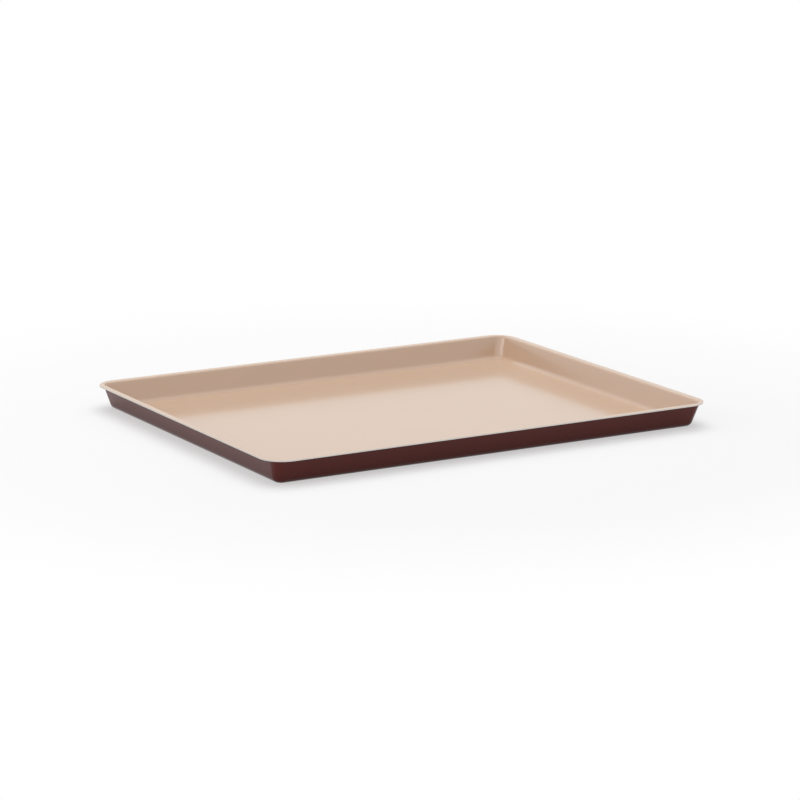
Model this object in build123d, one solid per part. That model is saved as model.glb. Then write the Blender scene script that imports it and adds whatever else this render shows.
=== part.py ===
from build123d import *
import os

os.makedirs("parts", exist_ok=True)

# Cookie sheet in millimetres. The origin is the middle of the base, on the surface that the
# sheet stands on: +Z is up, +X runs along the long sides and +Y across to a long side.

# The rim as it is trimmed
rim_length = 368.0
rim_width = 292.0
rim_corner_radius = 17.8
overall_height = 18.6

# The coated sheet, from the food side down
inside_coat_thickness = 0.1
steel_thickness = 0.7
outside_coat_thickness = 0.1

# How the sheet is pressed: each radius is the one on the inner side of its bend
flange_flat_width = 3.9
rim_bend_radius = 1.1
floor_bend_radius = 4.2
floor_corner_radius = 2.6
wall_draft_angle = 15.0

# How far a cutting shape runs past what it cuts
cutter_overrun = 5.0

# Each face of a layer lies at a depth under the food side
steel_top_depth = inside_coat_thickness
steel_base_depth = steel_top_depth + steel_thickness
sheet_thickness = steel_base_depth + outside_coat_thickness

# The rim bends round its underside, so on the food side its radius has the sheet added
rim_bend_food_radius = rim_bend_radius + sheet_thickness
wall_corner_radius = floor_corner_radius + floor_bend_radius


def wall_half_span(rim_span, depth, height):
    """Half the distance between two facing walls, at a height, on the face at a depth in the sheet.

    The rim's bend starts where the flat of the flange ends, and the wall leaves the bend at the
    draft angle, so the wall's plane is one bend radius from the bend's centre.
    """
    outward = Vector(1, 0, 0).rotate(Axis.Y, wall_draft_angle)
    bend_centre = Vector(rim_span / 2 - flange_flat_width, 0, overall_height - rim_bend_food_radius)
    plane_distance = bend_centre.dot(outward) - rim_bend_food_radius + depth
    return (plane_distance - height * outward.Z) / outward.X


def space_above(depth, beyond_rim=0):
    """The room above the face at a depth in the sheet: the well in its walls and a plate over its rim."""
    floor_height = sheet_thickness - depth
    flange_height = overall_height - depth

    well_floor = Plane.XY.offset(floor_height) * Rectangle(
        2 * wall_half_span(rim_length, depth, floor_height),
        2 * wall_half_span(rim_width, depth, floor_height),
    )
    well = extrude(well_floor, amount=flange_height - floor_height, taper=-wall_draft_angle)
    leaning_corners = well.edges().filter_by(Plane.XY, reverse=True)
    well = fillet(leaning_corners, wall_corner_radius + depth)

    plate_outline = Plane.XY.offset(flange_height) * RectangleRounded(
        rim_length + 2 * beyond_rim,
        rim_width + 2 * beyond_rim,
        rim_corner_radius + beyond_rim,
    )
    room = well + extrude(plate_outline, amount=depth + cutter_overrun + beyond_rim)

    flange_face = room.faces().filter_by(Axis.Z).sort_by(Axis.Z)[1]
    mouth = flange_face.inner_wires().edges()
    room = fillet(mouth, rim_bend_food_radius - depth)
    floor_face = room.faces().sort_by(Axis.Z)[0]
    return fillet(floor_face.edges(), floor_bend_radius + depth)


def layer(top_depth, base_depth):
    """One layer of the sheet, between the faces at two depths, trimmed square at the rim."""
    return space_above(base_depth) - space_above(top_depth, cutter_overrun)


layers = {
    "inside_nonstick_coat": layer(0, steel_top_depth),
    "steel_pressing": layer(steel_top_depth, steel_base_depth),
    "outside_coat": layer(steel_base_depth, sheet_thickness),
}
for name, solid in layers.items():
    solid.label = name
    export_step(solid, f"parts/{name}.step")
    print(name, solid.is_valid, len(solid.solids()), round(solid.volume, 2))
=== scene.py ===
"""A cookie sheet: one steel pressing with a champagne film inside and a burgundy film outside.

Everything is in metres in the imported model's frame: the base stands on z = 0, the long sides
run along X, and the photographed corner points to -X and -Y.
"""

import bpy
import numpy as np
from mathutils import Matrix, Vector


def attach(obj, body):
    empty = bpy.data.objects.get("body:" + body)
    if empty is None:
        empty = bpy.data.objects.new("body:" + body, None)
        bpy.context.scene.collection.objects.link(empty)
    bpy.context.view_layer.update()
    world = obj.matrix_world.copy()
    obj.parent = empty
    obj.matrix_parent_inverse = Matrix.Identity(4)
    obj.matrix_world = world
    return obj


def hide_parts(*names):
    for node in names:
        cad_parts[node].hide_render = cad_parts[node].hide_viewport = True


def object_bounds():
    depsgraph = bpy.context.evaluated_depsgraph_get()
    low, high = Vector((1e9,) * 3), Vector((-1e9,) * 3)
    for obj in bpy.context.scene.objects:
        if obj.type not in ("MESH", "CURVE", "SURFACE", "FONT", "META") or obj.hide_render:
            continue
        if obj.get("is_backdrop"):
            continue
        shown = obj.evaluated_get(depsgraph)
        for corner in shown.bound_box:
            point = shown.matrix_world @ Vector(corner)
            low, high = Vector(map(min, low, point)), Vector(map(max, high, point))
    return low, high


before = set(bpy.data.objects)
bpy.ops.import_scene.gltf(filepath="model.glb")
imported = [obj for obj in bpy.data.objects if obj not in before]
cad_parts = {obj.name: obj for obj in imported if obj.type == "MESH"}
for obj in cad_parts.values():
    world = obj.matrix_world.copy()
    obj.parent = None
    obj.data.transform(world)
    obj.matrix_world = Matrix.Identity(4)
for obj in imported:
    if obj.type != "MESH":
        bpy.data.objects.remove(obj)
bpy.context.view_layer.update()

MM = 0.001

# Sizes of the pressing, the overall ones from the frame and the rest as it is pressed
rim_low, rim_high = (np.array(corner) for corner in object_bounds())
rim_length, rim_width, overall_height = rim_high - rim_low
inside_film = 0.1 * MM
steel_gauge = 0.7 * MM
outside_film = 0.1 * MM
sheet_thickness = inside_film + steel_gauge + outside_film
rim_corner_radius = 17.8 * MM
flange_flat_width = 3.9 * MM
rim_bend_radius = 1.1 * MM + sheet_thickness
floor_bend_radius = 4.2 * MM
wall_corner_radius = 2.6 * MM + floor_bend_radius
wall_draft = np.radians(15.0)

# How finely each stretch of the surface is divided
CORNER_STEPS = 20
SIDE_STEPS = 24
BEND_STEPS = 14
WALL_STEPS = 4
FLANGE_STEPS = 4
FLOOR_STEPS = 24
STAGE_SIDES = 128

# A fold of the surface sharper than this is shaded as an edge
SHARP_EDGE = np.radians(40)

UP = np.array([0.0, 0.0, 1.0])

# Which output or input of a shader node is meant, where two share a name
OBJECT_COORDINATES = 3
VECTOR_LENGTH = 1
MIX_SHARE, MIX_FIRST, MIX_SECOND, MIX_RESULT = 0, 6, 7, 2
RANGE_START, RANGE_END = 1, 2
CAMERA_RAY, GLOSSY_RAY, TRANSMISSION_RAY = 0, 3, 6

WHITE = (1, 1, 1, 1)
STAGE_COLOUR = (0.97, 0.97, 0.97, 1)

# The marks in a sprayed film: how wide each kind is, and how high those that catch the light
CLOUD_WIDTH = 70 * MM
FLAKE_WIDTH = 0.5 * MM
PEEL_WIDTH = 1.6 * MM
PEEL_HEIGHT = 0.002 * MM
WAVE_WIDTH = 110 * MM
WAVE_HEIGHT = 0.05 * MM
CLOUD_SHARE = 0.7
MARK_ROUGHNESS = 0.06

# The drag lines on the cut edge: how wide and high, and how far they are drawn out upwards
DRAG_WIDTH = 0.25 * MM
DRAG_HEIGHT = 0.01 * MM
DRAG_SQUEEZE = 0.06


def turned(start, end, share):
    """Unit vectors a share of the way along the arc from start to end: sin-weighted sums of the two."""
    angle = np.arccos(np.clip(np.sum(start * end, axis=-1, keepdims=True), -1, 1))
    return (np.sin((1 - share) * angle) * start + np.sin(share * angle) * end) / np.sin(angle)


def corner_axis(height, reach):
    """Points on the leaning corner's axis at a height: where both wall planes, moved in by reach, cross."""
    def across(span):
        bend_centre = span / 2 - flange_flat_width
        plane = (
            bend_centre * np.cos(wall_draft)
            - (overall_height - rim_bend_radius) * np.sin(wall_draft)
            - rim_bend_radius
        )
        return (plane - reach + height * np.sin(wall_draft)) / np.cos(wall_draft)

    return np.stack([across(rim_length), across(rim_width), height], axis=-1)


def corner_profile(depth):
    """Rows of points of one face of the sheet round its +X +Y corner, from the floor out to the cut rim.

    The corner is a leaning cylinder, so its outward normals lie on the arc between the two walls'
    normals. A ball rolled along its foot, and one rolled under its rim, have their centres one
    radius off the walls and off the floor or flange; each bend is the arc on that ball between the
    two contacts. depth grows the first ball and shrinks the second.
    """
    share = np.linspace(0, 1, CORNER_STEPS)[:, None]
    short_wall = np.array([[np.cos(wall_draft), 0, -np.sin(wall_draft)]])
    long_wall = np.array([[0, np.cos(wall_draft), -np.sin(wall_draft)]])
    normal = turned(short_wall, long_wall, share)
    lean = normal[:, 2]
    up = np.broadcast_to(UP, normal.shape)

    foot_reach = wall_corner_radius - floor_bend_radius
    foot_height = sheet_thickness + floor_bend_radius - foot_reach * lean
    foot_centre = corner_axis(foot_height, wall_corner_radius) + foot_reach * normal
    rim_reach = wall_corner_radius + rim_bend_radius
    rim_height = overall_height - rim_bend_radius - rim_reach * lean
    rim_centre = corner_axis(rim_height, wall_corner_radius) + rim_reach * normal

    foot = [
        foot_centre + (floor_bend_radius + depth) * turned(-up, normal, step)
        for step in np.linspace(0, 1, BEND_STEPS)
    ]
    mouth = [
        rim_centre + (rim_bend_radius - depth) * turned(-normal, up, step)
        for step in np.linspace(0, 1, BEND_STEPS)
    ]
    wall = [
        foot[-1] + (mouth[0] - foot[-1]) * step for step in np.linspace(0, 1, WALL_STEPS + 1)[1:-1]
    ]

    turn = share[:, 0] * np.pi / 2
    cut_rim = np.stack(
        [
            rim_length / 2 - rim_corner_radius * (1 - np.cos(turn)),
            rim_width / 2 - rim_corner_radius * (1 - np.sin(turn)),
            np.full(CORNER_STEPS, overall_height - depth),
        ],
        axis=-1,
    )
    flange = [
        mouth[-1] + (cut_rim - mouth[-1]) * step for step in np.linspace(0, 1, FLANGE_STEPS + 1)[1:]
    ]
    floor = [
        foot[0] * [step, step, 1] for step in np.linspace(0, 1, FLOOR_STEPS + 1)[1:-1]
    ]
    return np.array(floor + foot + wall + mouth + flange)


def closed_rings(depth):
    """One face of the sheet as closed rings: the corner mirrored into all four, and the straight sides."""
    corner = corner_profile(depth)
    corners = [
        corner,
        (corner * [-1, 1, 1])[:, ::-1],
        corner * [-1, -1, 1],
        (corner * [1, -1, 1])[:, ::-1],
    ]
    along = np.linspace(0, 1, SIDE_STEPS + 1)[1:-1][None, :, None]
    stretches = []
    for here, after in zip(corners, corners[1:] + corners[:1]):
        start, end = here[:, -1:], after[:, :1]
        stretches += [here, start + (end - start) * along]
    return np.concatenate(stretches, axis=1)


def ring_quads(first, rings, count):
    """Quads between neighbouring closed rings of count points, numbered from first."""
    ring, place = np.meshgrid(np.arange(rings - 1), np.arange(count), indexing="ij")
    here, beside = first + ring * count + place, first + ring * count + (place + 1) % count
    return np.stack([here, here + count, beside + count, beside], axis=-1).reshape(-1, 4)


def sheet_layer(name, top_depth, base_depth, material):
    """A closed layer of the sheet: its top face's rings out to the rim, then its base face's back in."""
    top, base = closed_rings(top_depth), closed_rings(base_depth)[::-1]
    rings = np.concatenate([top, base])
    count = rings.shape[1]
    points = rings.reshape(-1, 3)
    quads = ring_quads(0, len(rings), count)
    middles = np.array([[0, 0, top[0, 0, 2]], [0, 0, base[-1, 0, 2]]])
    here = np.arange(count)
    beside = (here + 1) % count
    last = len(points) - count
    top_fan = np.stack([np.full(count, len(points)), here, beside], axis=-1)
    base_fan = np.stack([np.full(count, len(points) + 1), last + beside, last + here], axis=-1)

    mesh = bpy.data.meshes.new(name)
    mesh.from_pydata(
        np.concatenate([points, middles]).tolist(),
        [],
        quads.tolist() + top_fan.tolist() + base_fan.tolist(),
    )
    mesh.update()
    mesh.shade_smooth()
    mesh.set_sharp_from_angle(angle=SHARP_EDGE)
    mesh.materials.append(material)
    piece = bpy.data.objects.new(name, mesh)
    bpy.context.scene.collection.objects.link(piece)
    return piece


class Value:
    """A shader socket that takes part in sums as a number would; each operation adds a Math node."""

    def __init__(self, finish, socket):
        self.finish, self.socket = finish, socket

    def combined(self, operation, first, second):
        return self.finish.node("ShaderNodeMath", {"operation": operation}, {0: first, 1: second})

    def __add__(self, other):
        return self.combined("ADD", self, other)

    def __sub__(self, other):
        return self.combined("SUBTRACT", self, other)

    def __rsub__(self, other):
        return self.combined("SUBTRACT", other, self)

    def __mul__(self, other):
        return self.combined("MULTIPLY", self, other)

    __radd__ = __add__
    __rmul__ = __mul__


class Finish:
    """A node tree of a material or of the world, with one method that adds any node."""

    def __init__(self, owner):
        self.owner = owner
        owner.use_nodes = True
        self.tree = owner.node_tree
        self.tree.nodes.clear()

    def node(self, kind, settings=None, sockets=None, output=0):
        """Adds a node, sets its settings and feeds its sockets, and gives one of its outputs."""
        made = self.tree.nodes.new(kind)
        for key, setting in (settings or {}).items():
            setattr(made, key, setting)
        for key, feed in (sockets or {}).items():
            if isinstance(feed, Value):
                self.tree.links.new(feed.socket, made.inputs[key])
            else:
                made.inputs[key].default_value = feed
        return Value(self, made.outputs[output]) if made.outputs else None

    def noise(self, place, size, detail=2.0):
        """Noise from 0 to 1 whose features are about size metres across."""
        return self.node("ShaderNodeTexNoise", None, {"Vector": place, "Scale": 1 / size, "Detail": detail})

    def mixed(self, share, first, second):
        """A colour between two others."""
        sockets = {MIX_SHARE: share, MIX_FIRST: first, MIX_SECOND: second}
        return self.node("ShaderNodeMix", {"data_type": "RGBA"}, sockets, MIX_RESULT)


def colour(red, green, blue):
    """A linear colour from the values of a screen colour out of 255."""
    screen = np.array([red, green, blue]) / 255
    linear = np.where(screen <= 0.04045, screen / 12.92, ((screen + 0.055) / 1.055) ** 2.4)
    return (*linear.tolist(), 1.0)


def sprayed_film(name, light, dark, roughness, gloss, gloss_roughness, gloss_ior):
    """A sprayed film under its own clear gloss: cloudy where it went on unevenly, with faint orange peel."""
    finish = Finish(bpy.data.materials.new(name))
    place = finish.node("ShaderNodeTexCoord", None, None, OBJECT_COORDINATES)
    cloud = finish.noise(place, CLOUD_WIDTH)
    flake = finish.noise(place, FLAKE_WIDTH, detail=1.0)
    peel = finish.noise(place, PEEL_WIDTH)
    wave = finish.noise(place, WAVE_WIDTH, detail=1.0)
    waved = finish.node("ShaderNodeBump", None, {"Height": wave, "Distance": WAVE_HEIGHT, "Strength": 1.0})
    peeled = finish.node(
        "ShaderNodeBump", None, {"Height": peel, "Distance": PEEL_HEIGHT, "Strength": 1.0, "Normal": waved}
    )
    shader = finish.node(
        "ShaderNodeBsdfPrincipled",
        None,
        {
            "Base Color": finish.mixed(cloud * CLOUD_SHARE + flake * (1 - CLOUD_SHARE), dark, light),
            "Roughness": roughness + (cloud + flake - 1) * MARK_ROUGHNESS,
            "Specular IOR Level": 0.0,
            "Coat Weight": gloss,
            "Coat Roughness": gloss_roughness,
            "Coat IOR": gloss_ior,
            "Normal": peeled,
        },
    )
    finish.node("ShaderNodeOutputMaterial", None, {"Surface": shader})
    return finish.owner


def sheared_steel(name, light, dark, roughness, drag_roughness):
    """Bare cut steel: bright, with the fine upright drag lines that a trimming die leaves."""
    finish = Finish(bpy.data.materials.new(name))
    place = finish.node("ShaderNodeTexCoord", None, None, OBJECT_COORDINATES)
    drawn = finish.node("ShaderNodeMapping", None, {"Vector": place, "Scale": (1, 1, DRAG_SQUEEZE)})
    drag = finish.noise(drawn, DRAG_WIDTH, detail=3.0)
    bumped = finish.node("ShaderNodeBump", None, {"Height": drag, "Distance": DRAG_HEIGHT, "Strength": 1.0})
    shader = finish.node(
        "ShaderNodeBsdfPrincipled",
        None,
        {
            "Base Color": finish.mixed(drag, dark, light),
            "Metallic": 1.0,
            "Roughness": roughness + drag * drag_roughness,
            "Normal": bumped,
        },
    )
    finish.node("ShaderNodeOutputMaterial", None, {"Surface": shader})
    return finish.owner


champagne = sprayed_film(
    "champagne_film", light=(0.70, 0.505, 0.37, 1), dark=(0.65, 0.46, 0.33, 1),
    roughness=0.32, gloss=0.9, gloss_roughness=0.15, gloss_ior=1.9,
)
burgundy = sprayed_film(
    "burgundy_film", light=(0.105, 0.011, 0.006, 1), dark=(0.090, 0.008, 0.004, 1),
    roughness=0.28, gloss=1.0, gloss_roughness=0.14, gloss_ior=1.33,
)
cut_steel = sheared_steel(
    "cut_steel", light=colour(222, 221, 217), dark=colour(186, 184, 180),
    roughness=0.28, drag_roughness=0.2,
)

layers = [
    ("inside_film", "inside_nonstick_coat", "inside_coat", 0.0, inside_film, champagne),
    ("pressed_steel", "steel_pressing", "sheet_steel", inside_film, inside_film + steel_gauge, cut_steel),
    ("outside_film", "outside_coat", "outside_coat", inside_film + steel_gauge, sheet_thickness, burgundy),
]
for piece_name, node, slot, top_depth, base_depth, material in layers:
    piece = sheet_layer(piece_name, top_depth, base_depth, material)
    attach(piece, "root")
    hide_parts(node)

# The photograph's camera, placed from the middle of the rim
camera_azimuth = np.radians(-30.03)
camera_elevation = np.radians(12.89)
camera_distance = 2404 * MM
aside_right = -1.47 * MM
aside_up = 5.61 * MM
image_pixels = 800
focal_pixels = 3212
sensor_width_mm = 36
nearest_seen = 0.1
furthest_seen = 100.0

back = Vector(
    (
        np.sin(camera_azimuth) * np.cos(camera_elevation),
        -np.cos(camera_azimuth) * np.cos(camera_elevation),
        np.sin(camera_elevation),
    )
)
right = Vector((np.cos(camera_azimuth), np.sin(camera_azimuth), 0))
upward = back.cross(right)
camera_data = bpy.data.cameras.new("camera")
camera_data.sensor_width = sensor_width_mm
camera_data.lens = sensor_width_mm * focal_pixels / image_pixels
camera_data.clip_start, camera_data.clip_end = nearest_seen, furthest_seen
camera = bpy.data.objects.new("camera", camera_data)
rim_middle = Vector((0, 0, overall_height))
camera.matrix_world = Matrix.Translation(
    rim_middle - aside_right * right - aside_up * upward + camera_distance * back
) @ Matrix((right, upward, back)).transposed().to_4x4()
bpy.context.scene.collection.objects.link(camera)
bpy.context.scene.camera = camera


def background_seen(finish):
    """1 for what the camera sees straight on, in gloss or through glass, and 0 for what only lights."""
    camera_ray, glossy_ray, transmission_ray = (
        finish.node("ShaderNodeLightPath", None, None, ray)
        for ray in (CAMERA_RAY, GLOSSY_RAY, TRANSMISSION_RAY)
    )
    seen = camera_ray + glossy_ray + transmission_ray
    return finish.node("ShaderNodeClamp", None, {"Value": seen})


def pale_floor(radius, drop, shaded_reach, white_reach, shadow_share):
    """A round floor just under the base: plain white further out, and partly shaded round the sheet."""
    turn = np.linspace(0, 2 * np.pi, STAGE_SIDES, endpoint=False)
    rim = np.stack([radius * np.cos(turn), radius * np.sin(turn), np.full(turn.shape, -drop)], axis=-1)
    mesh = bpy.data.meshes.new("floor")
    mesh.from_pydata(rim.tolist(), [], [list(range(len(turn)))])
    finish = Finish(bpy.data.materials.new("pale_floor"))
    place = finish.node("ShaderNodeTexCoord", None, None, OBJECT_COORDINATES)
    distance = finish.node("ShaderNodeVectorMath", {"operation": "LENGTH"}, {0: place}, VECTOR_LENGTH)
    far = finish.node(
        "ShaderNodeMapRange",
        {"interpolation_type": "SMOOTHSTEP"},
        {"Value": distance, RANGE_START: shaded_reach, RANGE_END: white_reach},
    )
    plain = 1 - (1 - far) * shadow_share
    lit = finish.node("ShaderNodeBsdfDiffuse", None, {"Color": STAGE_COLOUR})
    white = finish.node("ShaderNodeEmission", None, {"Color": WHITE, "Strength": 1.0})
    white_share = plain * background_seen(finish)
    shader = finish.node("ShaderNodeMixShader", None, {0: white_share, 1: lit, 2: white})
    finish.node("ShaderNodeOutputMaterial", None, {"Surface": shader})
    mesh.materials.append(finish.owner)
    floor = bpy.data.objects.new("floor", mesh)
    bpy.context.scene.collection.objects.link(floor)
    floor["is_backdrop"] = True


def studio_world(background, room):
    """White where it is seen, and a plain even room where it only lights."""
    world = bpy.data.worlds.new("studio")
    bpy.context.scene.world = world
    finish = Finish(world)
    strength = room + background_seen(finish) * (background - room)
    shade = finish.node("ShaderNodeBackground", None, {"Color": WHITE, "Strength": strength})
    finish.node("ShaderNodeOutputWorld", None, {"Surface": shade})


def softbox(name, azimuth, low, high, half_angle, distance, brightness, matte=True, shine=True):
    """A rectangular lamp facing the sheet, from a low to a high elevation and half_angle to each side.

    Angles are in degrees, azimuth round from +X. Its power grows with its area, so that its face
    stays as bright. matte and shine say whether it lights matte surfaces and whether glosses mirror it.
    """
    bearing, middle = np.radians(azimuth), np.radians((low + high) / 2)
    towards = Vector(
        (np.cos(bearing) * np.cos(middle), np.sin(bearing) * np.cos(middle), np.sin(middle))
    )
    lamp = bpy.data.lights.new(name, "AREA")
    lamp.shape = "RECTANGLE"
    lamp.size = 2 * distance * np.tan(np.radians(half_angle))
    lamp.size_y = 2 * distance * np.tan(np.radians((high - low) / 2))
    lamp.energy = 4 * brightness * lamp.size * lamp.size_y
    holder = bpy.data.objects.new(name, lamp)
    holder.location = towards * distance
    holder.rotation_euler = towards.to_track_quat("Z", "Y").to_euler()
    holder.visible_camera = False
    holder.visible_diffuse = matte
    holder.visible_glossy = shine
    bpy.context.scene.collection.objects.link(holder)


pale_floor(radius=14.0, drop=0.1 * MM, shaded_reach=0.25, white_reach=0.5, shadow_share=0.5)
studio_world(background=1.0, room=0.38)
softbox(
    "overhead_softbox", azimuth=240, low=65, high=115, half_angle=25, distance=1.6, brightness=1.3,
    shine=False,
)
softbox(
    "back_softbox", azimuth=60, low=45, high=75, half_angle=25, distance=1.5, brightness=1.15,
    shine=False,
)
softbox(
    "left_softbox", azimuth=180, low=14, high=34, half_angle=30, distance=1.5, brightness=0.95,
)
softbox(
    "camera_softbox", azimuth=235, low=16, high=34, half_angle=25, distance=1.5, brightness=0.25,
    matte=False,
)

bpy.context.scene.view_settings.view_transform = "Standard"
